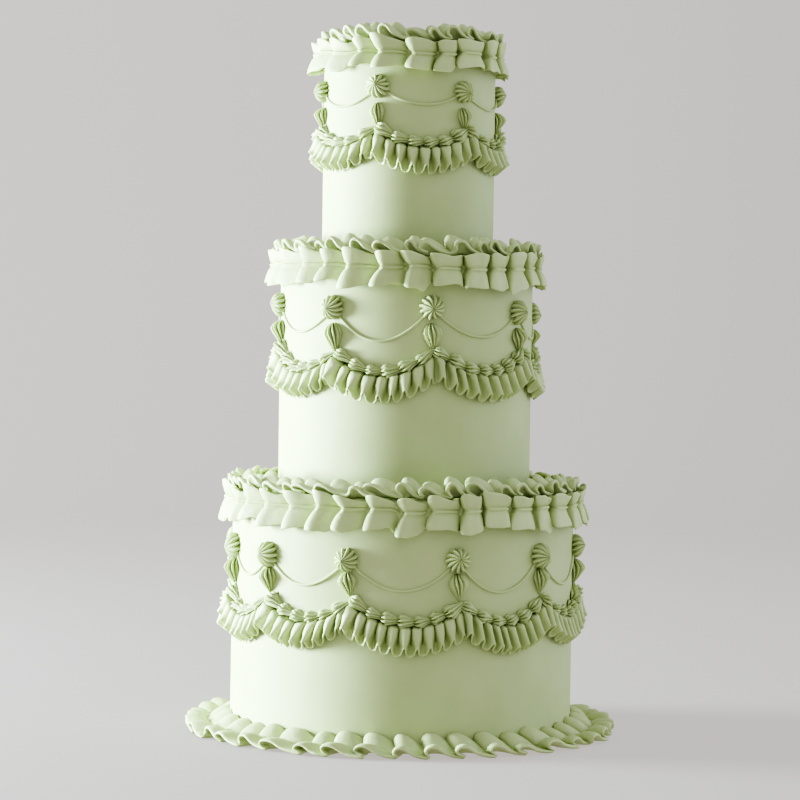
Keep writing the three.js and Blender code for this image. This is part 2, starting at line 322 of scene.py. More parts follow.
# Depth of the grooves as a share of the radius, the share of the height at which they would end, and the
# least and the most that is left of that depth
ROSETTE_GROOVE = 0.6
ROSETTE_GROOVE_END = 1.25
ROSETTE_GROOVE_RANGE = (0.2, 0.9)

# Strings: their points, their radius and how far out from the wall their middle is
STRING_STEPS = 44
STRING_SIDES = 10
STRING_RADIUS = 0.9
STRING_OUT = 0.45
# The share by which each end stops short of its rosette's middle, and how far aside the lowest point may be
STRING_SHORT = 0.045
STRING_ASIDE = 0.05
# How far a string's thickness differs, in waves of so many radians from end to end
STRING_UNEVEN = 0.08
STRING_WAVES = 19

# Smooth sides: their points, the softened rims, and the rings of the top face as shares of the radius
DRUM_COLUMNS = 180
DRUM_ROWS = 24
RIM_SOFT = 2.5
RIM_STEPS = 5
BASE_SOFT_UP = 0.4
BASE_SOFT_IN = 0.3
LID_RINGS = np.array([0.6, 0.2])
# The waves that a smoother leaves: how many, their slope in radians a millimetre, their depth and their fade
WAVE_COUNT = 6
WAVE_RISE = 0.05
WAVE_DEPTH = 0.22
WAVE_FADE = 0.3

# Icing: its greens, the painted shade that darkens its crevices, and how it shines and glows
SMOOTH_GREENS = [(0.443, 0.509, 0.246), (0.483, 0.549, 0.276)]
PIPED_GREENS = [(0.462, 0.527, 0.26), (0.504, 0.572, 0.294)]
# Painted shade: a darker green mixed into the colour where ambient occlusion finds crevices within this width
# in mm
PAINTED_CREVICE_SHADE = (0.32, 0.395, 0.14)
PAINTED_SHADE_REACH = 4.0
PAINTED_SHADE_SAMPLES = 6
SHINE = 0.32
GLOW_COLOUR = (1.0, 1.0, 0.6)
GLOW_REACH = 3.0
# The noise of its mottling, pores, streaks and lumps, with scales per metre, and how deep it goes
MOTTLE = dict(scale=38, detail=5)
MOTTLE_STOPS = (0.3, 0.7)
PORES = dict(scale=900, detail=3)
PORE_DEPTH = 0.3
STREAKS = dict(scale=1.0, detail=4)
STREAK_SCALE = (14, 14, 140)
STREAK_DEPTH = 0.6
LUMPS = dict(scale=190, detail=2)
LUMP_DEPTH = 1.2

# Camera of the photograph: its distance, height and lens, with the small roll that leans the cake
CAMERA_DISTANCE = 2050
CAMERA_HEIGHT = 299
CAMERA_ASIDE = -3.2
CAMERA_PITCH = 2.41
CAMERA_ROLL = 0.9
CAMERA_LENS = 143
SENSOR = 36

# Studio, in metres: the sweep's size and its bend
SWEEP_HALF = 5.0
SWEEP_FRONT = -4.0
SWEEP_BEND_FROM = 1.6
SWEEP_BEND = 0.9
SWEEP_BEND_STEPS = 16
SWEEP_HEIGHT = 4.0
# Its paper, and how strongly that glows from left to right
PAPER_COLOUR = (0.12, 0.112, 0.106, 1)
PAPER_ROUGHNESS = 0.9
PAPER_GLOW = (1.0, 0.94, 0.90, 1)
PAPER_GRADE = {"From Min": -0.6, "From Max": 0.6, "To Min": 0.53, "To Max": 0.40}
# The height that the lamps aim at, and the sky
LAMP_AIM = 0.24
SKY_COLOUR = (0.96, 1.0, 1.04, 1)
SKY_STRENGTH = 0.74


# Points and meshes

def around(angle, radius, height):
    """Points, in metres, at an angle in radians round the axis."""
    angle, radius, height = np.broadcast_arrays(angle, radius, height)
    return MM * np.stack([radius * np.sin(angle), -radius * np.cos(angle), height], axis=-1)


def either_way(most, count=None):
    """A random amount, or a count of them, up to so much either way."""
    return most * RANDOM.uniform(-1, 1, count)


def eased(share):
    """A share kept between 0 and 1 that starts and ends gently."""
    share = np.clip(share, 0, 1)
    return share * share * (3 - 2 * share)


def grid_faces(rows, columns, closed_rows, closed_columns):
    """Quads of a grid of points, closed on itself either way where asked."""
    index = np.arange(rows * columns).reshape(rows, columns)
    if closed_rows:
        index = np.concatenate([index, index[:1]])
    if closed_columns:
        index = np.concatenate([index, index[:, :1]], axis=1)
    corners = [index[:-1, :-1], index[:-1, 1:], index[1:, 1:], index[1:, :-1]]
    return np.stack(corners, axis=-1).reshape(-1, 4)


def facing_out(vertices, faces):
    """The faces turned so that the closed shape's volume is positive."""
    a, b, c, d = (vertices[faces[:, corner]] for corner in range(4))
    volume = np.einsum("ij,ij->", a, np.cross(b, c)) + np.einsum("ij,ij->", a, np.cross(c, d))
    return faces if volume > 0 else faces[:, ::-1]


def joined(solids):
    """Several (vertices, faces) pairs as one."""
    starts = np.cumsum([0] + [len(vertices) for vertices, _ in solids[:-1]])
    return (
        np.concatenate([vertices for vertices, _ in solids]),
        np.concatenate([faces + start for start, (_, faces) in zip(starts, solids)]),
    )


def tube(rings):
    """Closed solid through a stack of rings. Each end closes on a ring drawn in to its middle."""
    first = np.broadcast_to(rings[0].mean(axis=0), rings[0].shape)
    last = np.broadcast_to(rings[-1].mean(axis=0), rings[-1].shape)
    stack = np.concatenate([first[None], rings, last[None]])
    vertices = stack.reshape(-1, 3)
    faces = grid_faces(len(stack), stack.shape[1], False, True)
    return vertices, facing_out(vertices, faces)


def ribbon(middle, thickness, closed):
    """A ribbon with rounded edges from its middle surface, points[along, across]."""
    if closed:
        along = np.roll(middle, -1, axis=0) - np.roll(middle, 1, axis=0)
    else:
        along = np.gradient(middle, axis=0)
    across = np.gradient(middle, axis=1)
    normal = np.cross(along, across)
    normal /= np.linalg.norm(normal, axis=-1, keepdims=True) + TINY
    half = 0.5 * MM * thickness[..., None] * normal
    front = middle + half
    back = middle - half
    loop = np.concatenate([front, back[:, -2:0:-1]], axis=1)
    if not closed:
        return tube(loop)
    vertices = loop.reshape(-1, 3)
    faces = grid_faces(loop.shape[0], loop.shape[1], True, True)
    return vertices, facing_out(vertices, faces)


def piece(name, solid, material, slot, *nodes):
    """A smooth mesh that rides with the cake and stands for the named solids."""
    vertices, faces = solid
    mesh = bpy.data.meshes.new(name)
    mesh.from_pydata(vertices.tolist(), [], faces.tolist())
    welded = bmesh.new()
    welded.from_mesh(mesh)
    bmesh.ops.remove_doubles(welded, verts=welded.verts, dist=SAME_POINT)
    welded.to_mesh(mesh)
    welded.free()
    mesh.shade_smooth()
    mesh.materials.append(material)
    made = bpy.data.objects.new(name, mesh)
    bpy.context.collection.objects.link(made)
    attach(made, "root")
    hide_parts(*nodes)


# Swags: where they run round a tier

def swag_column(tier, column):
    """One measure at every swag's left end, the seen ones first, ending on the first one again."""
    seen = [row[column] for row in tier["seen"]]
    turn = 360 if column in (ROSETTE_ANGLE, PEAK_ANGLE) else 0
    rest = np.linspace(seen[-1], seen[0] + turn, tier["swags"] - len(seen) + 2)
    return np.concatenate([seen, rest[1:]])


def swag_measure(tier, column, place):
    """One measure at a place along the swags. Whole numbers are the swags' ends."""
    turns, within = np.divmod(np.asarray(place, float), tier["swags"])
    values = swag_column(tier, column)
    return np.interp(within, np.arange(tier["swags"] + 1), values) + (values[-1] - values[0]) * turns


def swag_angle(tier, place):
    """Angle in radians of a place along the garland."""
    return np.radians(swag_measure(tier, PEAK_ANGLE, place))


def swag_arc(tier, swag):
    """Length of a swag round the tier's side."""
    return tier["radius"] * (swag_angle(tier, swag + 1) - swag_angle(tier, swag))


def swag_count(tier, swag, pitch):
    """How many things of one pitch fit along a swag."""
    return round(swag_arc(tier, swag) / pitch)


def swag_drop(place):
    """How far a swag has dropped, from 0 at its ends to 1 halfway."""
    across = np.asarray(place, float) % 1
    return 1 - (2 * across - 1) ** 2


def garland_height(tier, place):
    """Height of a place along the garland."""
    return tier["top"] - swag_measure(tier, PEAK_DEPTH, place) - tier["garland_sag"] * swag_drop(place)


# Pleated rings

def pleat_curve(pleat):
    """One pleat's columns at even steps, by a spline through its rows that repeats every pitch."""
    points = np.array(pleat)
    knots = np.concatenate([points[-1:] - PLEAT_SHIFT, points, points[:2] + PLEAT_SHIFT])
    t = np.linspace(0, 1, SPLINE_STEPS, endpoint=False)[:, None]
    dense = []
    for row in range(len(points)):
        a, b, c, d = knots[row:row + 4]
        dense.append(0.5 * (2 * b + (c - a) * t + (2 * a - 5 * b + 4 * c - d) * t**2
                            + (3 * b - 3 * c + d - a) * t**3))
    dense = np.concatenate(dense + [points[:1] + PLEAT_SHIFT])
    length = np.concatenate([[0], np.cumsum(np.linalg.norm(np.diff(dense[:, 2:4], axis=0), axis=1))])
    even = np.linspace(0, length[-1], PLEAT_STEPS, endpoint=False)
    return [np.interp(even, length, column) for column in dense.T]


def per_pleat(count, spread):
    """A factor for each pleat that changes smoothly in the hidden part between two pleats."""
    factors = 1 + either_way(spread, count)
    fraction = np.arange(PLEAT_STEPS) / PLEAT_STEPS
    blend = eased((fraction - HIDDEN_FROM) / (1 - HIDDEN_FROM))
    return (factors[:, None] * (1 - blend) + np.roll(factors, -1)[:, None] * blend).reshape(-1)


def rough(count, spread):
    """A factor that wanders smoothly round a ring of points."""
    knots = count // ROUGH_STEP
    factors = 1 + either_way(spread, knots)
    return np.interp(np.arange(count) * knots / count, np.arange(knots + 1), np.append(factors, factors[0]))


def flattened(out, panel, full):
    """A pleat's places out, drawn towards a flat panel that has its whole depth from a small share on."""
    return np.clip(out, 0, 1) * (1 - panel) + eased(out / full) * panel


def along_flap(values, spread):
    """A cubic through four values, from the seam to the edge of a flap."""
    return np.polyval(np.polyfit(np.linspace(0, 1, 4), values, 3), spread)


def pleated_ring(pleat, pleats, seam, tilt, flaps, thickness, vein, uneven, jitter, wander=0.0, curl=0.0,
                 lower_behind=0.0, flat=0.0, ragged=0.0, slant=0.0):
    """A pleated ribbon all the way round, pinched along a seam in its middle.

    seam is the seam's radius and height. tilt turns the way the pleats stand, from outwards to upwards.
    flaps holds the flap before the seam and the one after it, which points up where the pleats stand outwards
    and inwards where they stand upwards. Each has its width, how far its valleys rest off the surface and how
    much more its noses stand out, at four places from the seam to the edge. Its edge leans to the left, with
    a bow, and falls back between pleats by a share of the width. The edge's form starts further from the seam
    where a flap opens late. A raised vein runs along the seam.
    uneven, jitter, wander and curl are how much the pleats differ in size, place, height and overlap, and
    lower_behind is the share by which they stand lower at the back. flat turns them into flat panels with
    narrow gaps on the right-hand side, ragged is how uneven the edges are, and slant is how much one end of a
    pleat's edge may hang lower than the other.
    """
    columns = pleat_curve(pleat)
    across = np.concatenate([-HALF_STOPS[::-1], [0.0], HALF_STOPS])
    spread = np.abs(across)
    after = across >= 0
    numbers = np.repeat(np.arange(pleats), PLEAT_STEPS)
    steady = np.tile(np.arange(PLEAT_STEPS) / PLEAT_STEPS, pleats)
    bearing = TURN * (numbers + steady) / pleats
    behind = 0.5 - 0.5 * np.cos(bearing)
    panel = flat * np.clip((np.sin(bearing) - PANEL_FROM) / PANEL_OVER, 0, 1)
    size = per_pleat(pleats, uneven) * (1 - lower_behind * behind)
    curling = per_pleat(pleats, curl)[:, None]
    moved = either_way(jitter, pleats)
    shape = (len(bearing), len(across))
    place, width, standing, slide = (np.zeros(shape) for _ in range(4))
    for side, flap, (along, out, share) in zip((~after, after), flaps, (columns[2:5], columns[5:8])):
        opened = 1 - (1 - spread[side] ** flap.get("late", 1)) ** EDGE_GROWTH
        place[:, side] = np.tile(np.outer(columns[0], 1 - opened) + np.outer(along, opened), (pleats, 1))
        pinched = flattened(np.tile(columns[1], pleats), panel, PANEL_AT_SEAM)
        edged = flattened(np.tile(out, pleats), panel, PANEL_AT_EDGE) * rough(len(bearing), ragged)
        stand = np.outer(pinched, 1 - opened) + np.outer(edged, opened)
        wide = flap["width"] * per_pleat(pleats, uneven) * rough(len(bearing), ragged)
        dip = flap["fall"] * per_pleat(pleats, DIP_UNEVEN * uneven) * (1 - np.tile(share, pleats))
        slanted = (per_pleat(pleats, slant) - 1) * np.sin(TURN * steady)
        arch = 1 - dip * (1 - PANEL_STRAIGHT * panel) + slanted
        leaning = flap["lean"] * per_pleat(pleats, LEAN_UNEVEN * uneven)
        width[:, side] = np.outer(wide * arch, across[side])
        nose = along_flap(flap["stand"], spread[side])
        standing[:, side] = along_flap(flap["rest"], spread[side]) + stand * size[:, None] * nose
        slide[:, side] = -np.outer(leaning, 1 - (1 - spread[side]) ** flap["bow"])
    place = (numbers + steady)[:, None] + curling * (place - steady[:, None])
    knots = np.arange(pleats + 1)
    starts = knots + np.append(moved, moved[0])
    turned = np.interp(place % pleats, knots, starts) + pleats * (place // pleats)
    groove = np.exp(-((spread - GROOVE_PLACE) / GROOVE_HALF) ** 2)
    bead = np.exp(-(across / VEIN_HALF) ** 2) - GROOVE_DEPTH * groove
    standing += 0.5 * vein * bead
    width += wander * (per_pleat(pleats, 1.0) - 1)[:, None]
    c, s = math.cos(math.radians(tilt)), math.sin(math.radians(tilt))
    radius = seam[0] + standing * c - width * s
    height = seam[1] + standing * s + width * c
    middle = around(TURN * turned / pleats + slide / seam[0], radius, height)
    edge = np.sqrt(np.clip(1 - spread**EDGE_ROUND, 0, 1))
    thick = (thickness * (1 - EDGE_THINNER * spread) + vein * bead) * edge
    return ribbon(middle, np.broadcast_to(thick, shape), True)


def edge_frill(tier):
    """The frill round a tier's upper edge, pinched along its middle."""
    seam = (tier["radius"] + FRILL_OUT, tier["top"] - FRILL_BELOW)
    lower = dict(FRILL_LOWER, width=tier["frill_fall"])
    upper = dict(FRILL_UPPER, width=tier["frill_rise"], fall=tier["frill_dip"])
    return pleated_ring(OPEN_PLEAT, tier["pleats"], seam, OUTWARDS, [lower, upper], **FRILL_MAKE)


def top_ruffle(tier):
    """The curled ruffle on a tier's top rim."""
    seam = (tier["radius"] - RUFFLE_IN, tier["top"] + RUFFLE_ABOVE)
    rise = tier["fold_rise"]
    hook = dict(HOOK, stand=(*HOOK["stand"], tier["hook_rise"]))
    rest = (*FOLD["rest"], FOLD_EDGE_REST * rise)
    fold = dict(FOLD, rest=rest, stand=(*FOLD["stand"], FOLD_EDGE_STAND * rise))
    return pleated_ring(CURLED_PLEAT, tier["folds"], seam, UPWARDS, [hook, fold], **RUFFLE_MAKE)


def foot_ruffle():
    """The ruffle on the ground round the bottom tier."""
    seam = (TIERS["bottom"]["radius"] + FOOT_OUT, FOOT_ABOVE)
    return pleated_ring(CURLED_PLEAT, FOOT_PLEATS, seam, UPWARDS, [FOOT_OUTER, FOOT_INNER], **FOOT_MAKE)


# Flounce: a fluted ribbon hung below the garland, one length to a swag

def flute_curve(flutes):
    """The columns of FLUTE all along a swag, each flute's second half a mirror of its first."""
    half = np.array(FLUTE)
    whole = np.concatenate([half, half[-2:0:-1] * FLUTE_MIRROR + FLUTE_SHIFT])
    rows = [whole + number * FLUTE_SHIFT for number in range(flutes)]
    return np.concatenate(rows + [half[:1] + flutes * FLUTE_SHIFT]).T[:, :, None]


def flounce_length(tier, swag):
    """One swag's flounce. Its first flute is a wide petal that fans out to the left, and its last tucks in.

    The flutes fan out from the swag's curve, lean away from the middle of the view, and are open from higher
    up on the right-hand side.
    """
    flutes = swag_count(tier, swag, tier["flute_pitch"])
    top_along, top_out, edge_along, edge_out, edge_lift = flute_curve(flutes)
    ends = np.arange(flutes + 1)
    widths = RANDOM.uniform(*FLUTE_WIDTHS, flutes)
    widths[0] = FIRST_WIDTH
    bounds = np.concatenate([[0], np.cumsum(widths)]) / widths.sum()
    down = FLUTE_STOPS[None, :]
    side = np.clip(2 * np.sin(swag_angle(tier, swag + 0.5)), -1, 1)
    opened = eased((down - OPEN_FROM + OPEN_SOONER * max(side, 0)) / OPEN_OVER)
    phase = top_along * (1 - opened) + edge_along * opened
    stand = top_out * (1 - opened) + edge_out * opened
    local = np.interp(phase, ends, bounds)
    slope = -tier["garland_sag"] * (4 - 8 * local) / swag_arc(tier, swag)
    follow = SLOPE_LEAN - SLOPE_LEAN_LESS * abs(side)
    fan = follow * np.arctan(slope) + SIDE_LEAN * side - LEFT_LEAN
    big = 1 + FLUTE_UNEVEN * np.interp(phase, ends, RANDOM.uniform(-1, 1, flutes + 1))
    first = RANDOM.uniform(*FIRST_ASIDE) * np.exp(-phase / FIRST_OVER)
    last = np.exp(-(flutes - phase) / LAST_OVER)
    hang = tier["flounce_length"] + FLOUNCE_PAST - FLOUNCE_START
    length = FLOUNCE_START + hang * down - CREST_LIFT * down**2 * edge_lift * big
    depth = (FLUTE_DEPTH + FLUTE_DEEPER * down**FLUTE_DEEPENS) * big * (1 - last)
    depth = depth + (LEFT_DEEPER - (LEFT_DEEPER + RIGHT_LESS_DEEP) * local) * down
    out = LOOP_OUT + LOOP_FLARE * down**2 + depth * stand
    place = swag - SWAG_BEFORE + local
    line = garland_height(tier, np.clip(place, swag, swag + SWAG_END))
    aside = length * np.sin(fan) * (1 + LEAN_BOW - LEAN_BOW * down) - first * down
    angle = swag_angle(tier, place) + aside / tier["radius"]
    middle = around(angle, tier["radius"] + out, line - length * np.cos(fan))
    edge = np.sqrt(np.clip(1 - down**FLOUNCE_ROUND, 0, 1))
    rim = FLOUNCE_RIM * np.exp(-((down - FLOUNCE_RIM_PLACE) / FLOUNCE_RIM_HALF) ** 2)
    thick = (FLOUNCE_THICK - FLOUNCE_THINNER * down + rim) * edge + FLOUNCE_LEAST
    return ribbon(middle, np.broadcast_to(thick, middle.shape[:2]), False)


# Star-tip icing: shells, drops and rosettes

def ridges(count, turn, sharp):
    """Height of ridges with grooves between them, from -1 to 1, at an angle in radians round the piece."""
    return 2 * np.abs(np.cos(0.5 * count * turn)) ** sharp - 1


def shell_body(length, width, depth, ridge_count, steps, sides, groove, twist, fat, taper, blunt):
    """A teardrop along +X from its fat head to its thin tail, its back below z = 0: points[ring, side]."""
    x = (1 - np.cos(np.linspace(HEAD_START, math.pi, steps))) / 2
    head = np.sqrt(np.clip(1 - (1 - np.clip(x / fat, 0, 1)) ** blunt, 0, 1))
    tail_start = TAIL_FROM * fat
    tail = 1 - TAIL_THINNER * np.clip((x - tail_start) / (1 - tail_start), 0, 1) ** taper
    plump = (head * tail)[:, None]
    turn = np.linspace(-SUNK * math.pi, (1 + SUNK) * math.pi, sides)
    fade = np.clip(x / HEAD_FADE, HEAD_FADE_LEAST, 1) * np.clip((TAIL_FADE_END - x) / TAIL_FADE, 0, 1)
    ridge = ridges(ridge_count, turn[None, :] + twist * x[:, None], SHELL_SHARP)
    reach = 1 + groove * fade[:, None] * ridge
    across = 0.5 * width * plump * reach * np.cos(turn)
    up = 0.5 * depth * plump * (0.5 + reach * np.sin(turn))
    notch = HEAD_NOTCH * (1 - ridge) * (1 - x[:, None]) ** 3
    along = length * (x[:, None] - HELD_AT + notch)
    return np.stack([along, across, up], axis=-1)


def on_side(points, tier, angle, height, heading):
    """Points laid on a tier's side: x along the heading, y across it, z outwards. Angles are in radians."""
    c, s = math.cos(heading), math.sin(heading)
    along = points[..., 0] * c - points[..., 1] * s
    up = points[..., 0] * s + points[..., 1] * c
    return around(angle + along / tier["radius"], tier["radius"] + points[..., 2], height + up)


def garland_shells(tier):
    """The run of shells along each swag, heads at the left and each head over the tail before it."""
    solids = []
    for swag in range(tier["swags"]):
        per_swag = swag_count(tier, swag, SHELL_PITCH)
        for shell in range(per_swag):
            place = swag + (shell + SHELL_PLACE) / per_swag
            ahead = swag + (shell + SHELL_AHEAD) / per_swag
            before = swag + (shell + SHELL_BEFORE) / per_swag
            arc = tier["radius"] * (swag_angle(tier, ahead) - swag_angle(tier, before))
            climb = garland_height(tier, ahead) - garland_height(tier, before)
            heading = math.atan2(climb, arc) + either_way(SHELL_TURNED)
            size = 1 + either_way(SHELL_UNEVEN)
            length = SHELL_LENGTH * math.hypot(arc, climb) / (SHELL_AHEAD - SHELL_BEFORE)
            body = shell_body(length * size, SHELL_WIDTH * size, SHELL_DEPTH * size, **SHELL_MAKE)
            height = garland_height(tier, place) + either_way(SHELL_WOBBLE)
            solids.append(tube(on_side(body, tier, swag_angle(tier, place), height, heading)))
    return solids


def drops(tier):
    """The drop-shaped shell under each rosette, its tail reaching towards the garland's peak."""
    solids = []
    for swag in range(tier["swags"]):
        size = 1 + either_way(DROP_UNEVEN)
        angle = math.radians(swag_measure(tier, ROSETTE_ANGLE, swag))
        under = swag_measure(tier, ROSETTE_DEPTH, swag) + tier["drop_start"]
        aside = DROP_LEAN * tier["radius"] * (swag_angle(tier, swag) - angle)
        fall = tier["drop_reach"] * (swag_measure(tier, PEAK_DEPTH, swag) - under)
        body = shell_body(math.hypot(aside, fall), tier["drop_width"] * size, DROP_DEPTH * size, **DROP_MAKE)
        heading = -math.pi / 2 + math.atan2(aside, fall)
        along = angle + HELD_AT * aside / tier["radius"]
        height = tier["top"] - under - HELD_AT * fall
        solids.append(tube(on_side(body, tier, along, height, heading)))
    return solids


def rosettes(tier):
    """Star-tip drops whose ridges gather into a blunt middle."""
    solids = []
    share = ROSETTE_PROFILE[:, 1:]
    turn = np.linspace(0, TURN, ROSETTE_SIDES, endpoint=False)
    for swag in range(tier["swags"]):
        size = ROSETTE_REACH * tier["rosette_radius"] * (1 + either_way(REACH_UNEVEN))
        tall = ROSETTE_HEIGHT * (1 + either_way(HEIGHT_UNEVEN))
        spin = TURN * RANDOM.uniform()
        outline = ROSETTE_PROFILE * (size, tall)
        rise = np.gradient(outline, axis=0)
        normal = np.stack([rise[:, 1], -rise[:, 0]], axis=1) / np.linalg.norm(rise, axis=1, keepdims=True)
        deep = ROSETTE_GROOVE * size * np.clip(ROSETTE_GROOVE_END - share, *ROSETTE_GROOVE_RANGE)
        ridge = ridges(ROSETTE_RIDGES, turn[None, :] + spin + ROSETTE_TWIST * share, ROSETTE_SHARP)
        groove = 0.5 * deep * (ridge - 1)
        reach = outline[:, :1] + groove * normal[:, :1]
        lean = either_way(ROSETTE_LEAN, 2)
        bent = np.clip(share, 0, None) ** 2
        x = reach * np.cos(turn) + lean[0] * bent
        y = reach * np.sin(turn) + lean[1] * bent
        z = outline[:, 1:] + groove * normal[:, 1:]
        angle = math.radians(swag_measure(tier, ROSETTE_ANGLE, swag))
        height = tier["top"] - swag_measure(tier, ROSETTE_DEPTH, swag)
        solids.append(tube(on_side(np.stack([x, y, z], axis=-1), tier, angle, height, 0.0)))
    return solids


# Smooth sides and their strings

def drum(tier):
    """A tier's body with softened rims and the slight waves that a smoother leaves."""
    angle = np.linspace(0, TURN, DRUM_COLUMNS, endpoint=False)
    base, top, radius = tier["base"], tier["top"], tier["radius"]
    corner = np.linspace(0, math.pi / 2, RIM_STEPS)[1:]
    heights = np.concatenate([
        [base], np.linspace(base + BASE_SOFT_UP, top - RIM_SOFT, DRUM_ROWS),
        top - RIM_SOFT + RIM_SOFT * np.sin(corner), np.full(len(LID_RINGS), top),
    ])
    radii = np.concatenate([
        [radius - BASE_SOFT_IN], np.full(DRUM_ROWS, radius),
        radius - RIM_SOFT + RIM_SOFT * np.cos(corner), LID_RINGS * radius,
    ])
    on_wall = np.zeros(len(heights))
    on_wall[1:DRUM_ROWS + 1] = np.hanning(DRUM_ROWS) ** WAVE_FADE
    waves = np.zeros((len(heights), DRUM_COLUMNS))
    for number in range(1, WAVE_COUNT + 1):
        rise = RANDOM.uniform(-WAVE_RISE, WAVE_RISE)
        phase = RANDOM.uniform(0, TURN)
        waves += np.sin(number * angle + rise * heights[:, None] + phase) / (2 + number)
    reach = radii[:, None] + WAVE_DEPTH * on_wall[:, None] * waves
    return tube(around(angle[None, :], reach, heights[:, None]))


def strings(tier):
    """Thin lines of icing hung on the side from each rosette to the next."""
    solids = []
    turn = np.linspace(0, TURN, STRING_SIDES, endpoint=False)
    share = np.linspace(STRING_SHORT, 1 - STRING_SHORT, STRING_STEPS)
    for swag in range(tier["swags"]):
        sag = swag_measure(tier, STRING_SAG, swag)
        dropped = swag_drop(share + either_way(STRING_ASIDE) * share * (1 - share))
        height = tier["top"] - swag_measure(tier, ROSETTE_DEPTH, swag + share) - sag * dropped
        waves = np.sin(share * STRING_WAVES + RANDOM.uniform(0, TURN))
        ring = STRING_RADIUS * (1 + STRING_UNEVEN * waves)[:, None]
        angle = np.radians(swag_measure(tier, ROSETTE_ANGLE, swag + share))
        arc = tier["radius"] * np.gradient(angle)
        tangent = np.arctan2(np.gradient(height), arc)[:, None]
        points = around(
            angle[:, None] - ring * np.cos(turn) * np.sin(tangent) / tier["radius"],
            tier["radius"] + STRING_OUT + ring * np.sin(turn),
            height[:, None] + ring * np.cos(turn) * np.cos(tangent),
        )
        solids.append(tube(points))
    return solids


# Icing materials

def add_node(tree, kind, values):
    """A shader node with some of its inputs set."""
    node = tree.nodes.new(kind)
    for socket, value in values.items():
        node.inputs[socket].default_value = value
    return node


def noise(tree, where, scale, detail):
    """The strength of a noise at a place."""
    node = add_node(tree, "ShaderNodeTexNoise", {"Scale": scale, "Detail": detail})
    tree.links.new(where, node.inputs["Vector"])
    return node.outputs["Fac"]


def bump(tree, height, strength, depth):
    """Bumps of a depth where a height says so."""
    node = add_node(tree, "ShaderNodeBump", {"Strength": strength, "Distance": depth * MM})
    tree.links.new(height, node.inputs["Height"])
    return node


def with_painted_crevice_shade(tree, green, deep):
    """A green with painted shade: it turns into a darker green where ambient occlusion finds narrow crevices.
    """
    narrow = add_node(tree, "ShaderNodeAmbientOcclusion", {"Distance": PAINTED_SHADE_REACH * MM})
    narrow.samples = PAINTED_SHADE_SAMPLES
    blend = tree.nodes.new("ShaderNodeMix")
    blend.data_type = "RGBA"
    blend.inputs["A"].default_value = (*deep, 1)
    tree.links.new(narrow.outputs["AO"], blend.inputs["Factor"])
    tree.links.new(green, blend.inputs["B"])
    return blend.outputs["Result"]


def icing(name, greens, roughness, glow, pores, streaks=0.0, lumps=0.0, deep=None):
    """Matte buttercream with mottled greens, some glow and tiny pores, and with streaks or lumps where asked.

    deep is the darker green of painted shade in narrow crevices, if there is any.
    """
    material = bpy.data.materials.new(name)
    material.use_nodes = True
    tree = material.node_tree
    shader = tree.nodes["Principled BSDF"]
    shader.inputs["Roughness"].default_value = roughness
    shader.inputs["Specular IOR Level"].default_value = SHINE
    shader.inputs["Subsurface Weight"].default_value = glow
    shader.inputs["Subsurface Radius"].default_value = GLOW_COLOUR
    shader.inputs["Subsurface Scale"].default_value = GLOW_REACH * MM
    where = tree.nodes.new("ShaderNodeTexCoord").outputs["Object"]
    ramp = tree.nodes.new("ShaderNodeValToRGB")
    for element, stop, green in zip(ramp.color_ramp.elements, MOTTLE_STOPS, greens):
        element.position = stop
        element.color = (*green, 1)
    tree.links.new(noise(tree, where, **MOTTLE), ramp.inputs["Fac"])
    shade = ramp.outputs["Color"]
    # Painted shade: the green darkens in narrow crevices where ambient occlusion finds them
    if deep:
        shade = with_painted_crevice_shade(tree, shade, deep)
    tree.links.new(shade, shader.inputs["Base Color"])
    fine = bump(tree, noise(tree, where, **PORES), pores, PORE_DEPTH)
    if streaks:
        drawn = add_node(tree, "ShaderNodeMapping", {"Scale": STREAK_SCALE})
        tree.links.new(where, drawn.inputs["Vector"])
        dragged = bump(tree, noise(tree, drawn.outputs["Vector"], **STREAKS), streaks, STREAK_DEPTH)
        tree.links.new(dragged.outputs["Normal"], fine.inputs["Normal"])
    if lumps:
        swollen = bump(tree, noise(tree, where, **LUMPS), lumps, LUMP_DEPTH)
        tree.links.new(swollen.outputs["Normal"], fine.inputs["Normal"])
    tree.links.new(fine.outputs["Normal"], shader.inputs["Normal"])
    return material


SMOOTH = icing("smooth_icing", SMOOTH_GREENS, roughness=0.62, glow=0.05, pores=0.10, streaks=0.12)
# The piped icing gets painted shade in its crevices
PIPED = icing(
    "piped_icing", PIPED_GREENS, roughness=0.55, glow=0.15, pores=0.12, lumps=0.35, deep=PAINTED_CREVICE_SHADE,
)


# The cake

def build_tier(name, sizes):
    """One tier with all its piping, between the heights of its solid."""
    low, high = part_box(f"tier_{name}")
    tier = dict(sizes, base=low[2] / MM, top=high[2] / MM)
    swags = range(tier["swags"])
    piece(f"{name}_drum", joined([drum(tier)] + strings(tier)), SMOOTH, "smooth_icing", f"tier_{name}")
    piece(f"{name}_edge_frill", edge_frill(tier), PIPED, "piped_icing", f"edge_frill_{name}")
    piece(f"{name}_top_ruffle", top_ruffle(tier), PIPED, "piped_icing", f"top_ruffle_{name}")
    piped = joined(garland_shells(tier) + drops(tier))
    piece(f"{name}_garland", piped, PIPED, "piped_icing", f"garland_{name}")
    lengths = joined([flounce_length(tier, swag) for swag in swags])
    piece(f"{name}_flounce", lengths, PIPED, "piped_icing", f"flounce_{name}")
    solids = [f"rosette_{name}_{swag + 1:02d}" for swag in swags]
    piece(f"{name}_rosettes", joined(rosettes(tier)), PIPED, "piped_icing", *solids)


for tier_name, tier_sizes in TIERS.items():
    build_tier(tier_name, tier_sizes)
piece("foot_border", foot_ruffle(), PIPED, "piped_icing", "foot_ruffle")


# Studio: a pale sweep, a big soft window at the left, and the photograph's camera

